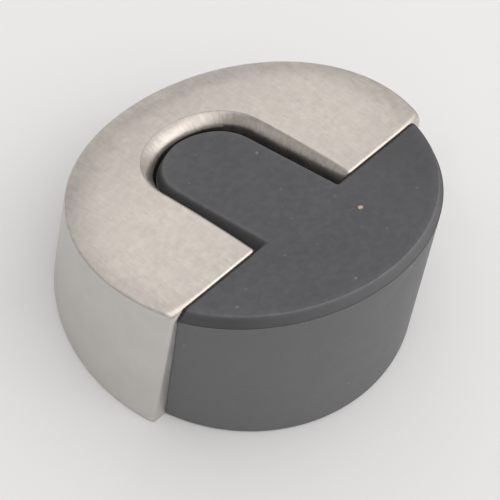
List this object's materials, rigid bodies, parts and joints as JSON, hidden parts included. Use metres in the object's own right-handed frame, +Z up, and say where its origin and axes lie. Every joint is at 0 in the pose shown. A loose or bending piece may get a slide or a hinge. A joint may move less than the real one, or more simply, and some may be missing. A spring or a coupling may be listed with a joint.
{
  "type": "floor door stop",
  "caption": "Round floor door stop: a sloping brushed steel horseshoe round a rubber buffer, held on a hidden floor plate by a rear set screw.",
  "frame": {"origin": "middle of the round base, on the floor, on the underside of the mounting plate", "axes": "+Z up; the rubber buffer, which the door meets, faces -Y; the low rear end with the set screw is at +Y; the two steel arms lie to either side along X"},
  "size_m": [0.05, 0.048, 0.0292],
  "materials": {
    "satin_steel": "satin, finely brushed stainless casting",
    "grey_rubber": "matt moulded rubber",
    "plain_steel": "mill finish pressed stainless",
    "zinc_steel": "bright zinc plated",
    "brass": "turned brass",
    "black_steel": "black oxide"
  },
  "bodies": {
    "plate": {"mounting_plate": "plain_steel"},
    "stop": {"cast_body": "satin_steel", "rubber_buffer": "grey_rubber", "buffer_insert_left": "brass", "buffer_insert_right": "brass", "buffer_screw_left": "zinc_steel", "buffer_screw_right": "zinc_steel", "spring_washer_left": "zinc_steel", "spring_washer_right": "zinc_steel"},
    "set_screw": {"grub_screw": "black_steel"}
  },
  "joints": [
    {"name": "stop_lift", "type": "slide", "parent": "plate", "child": "stop", "axis": [0, 0, 1], "range_m": [0, 0.015]},
    {"name": "set_screw_travel", "type": "slide", "parent": "stop", "child": "set_screw", "axis": [0, 1, 0], "range_m": [0, 0.0021]}
  ]
}
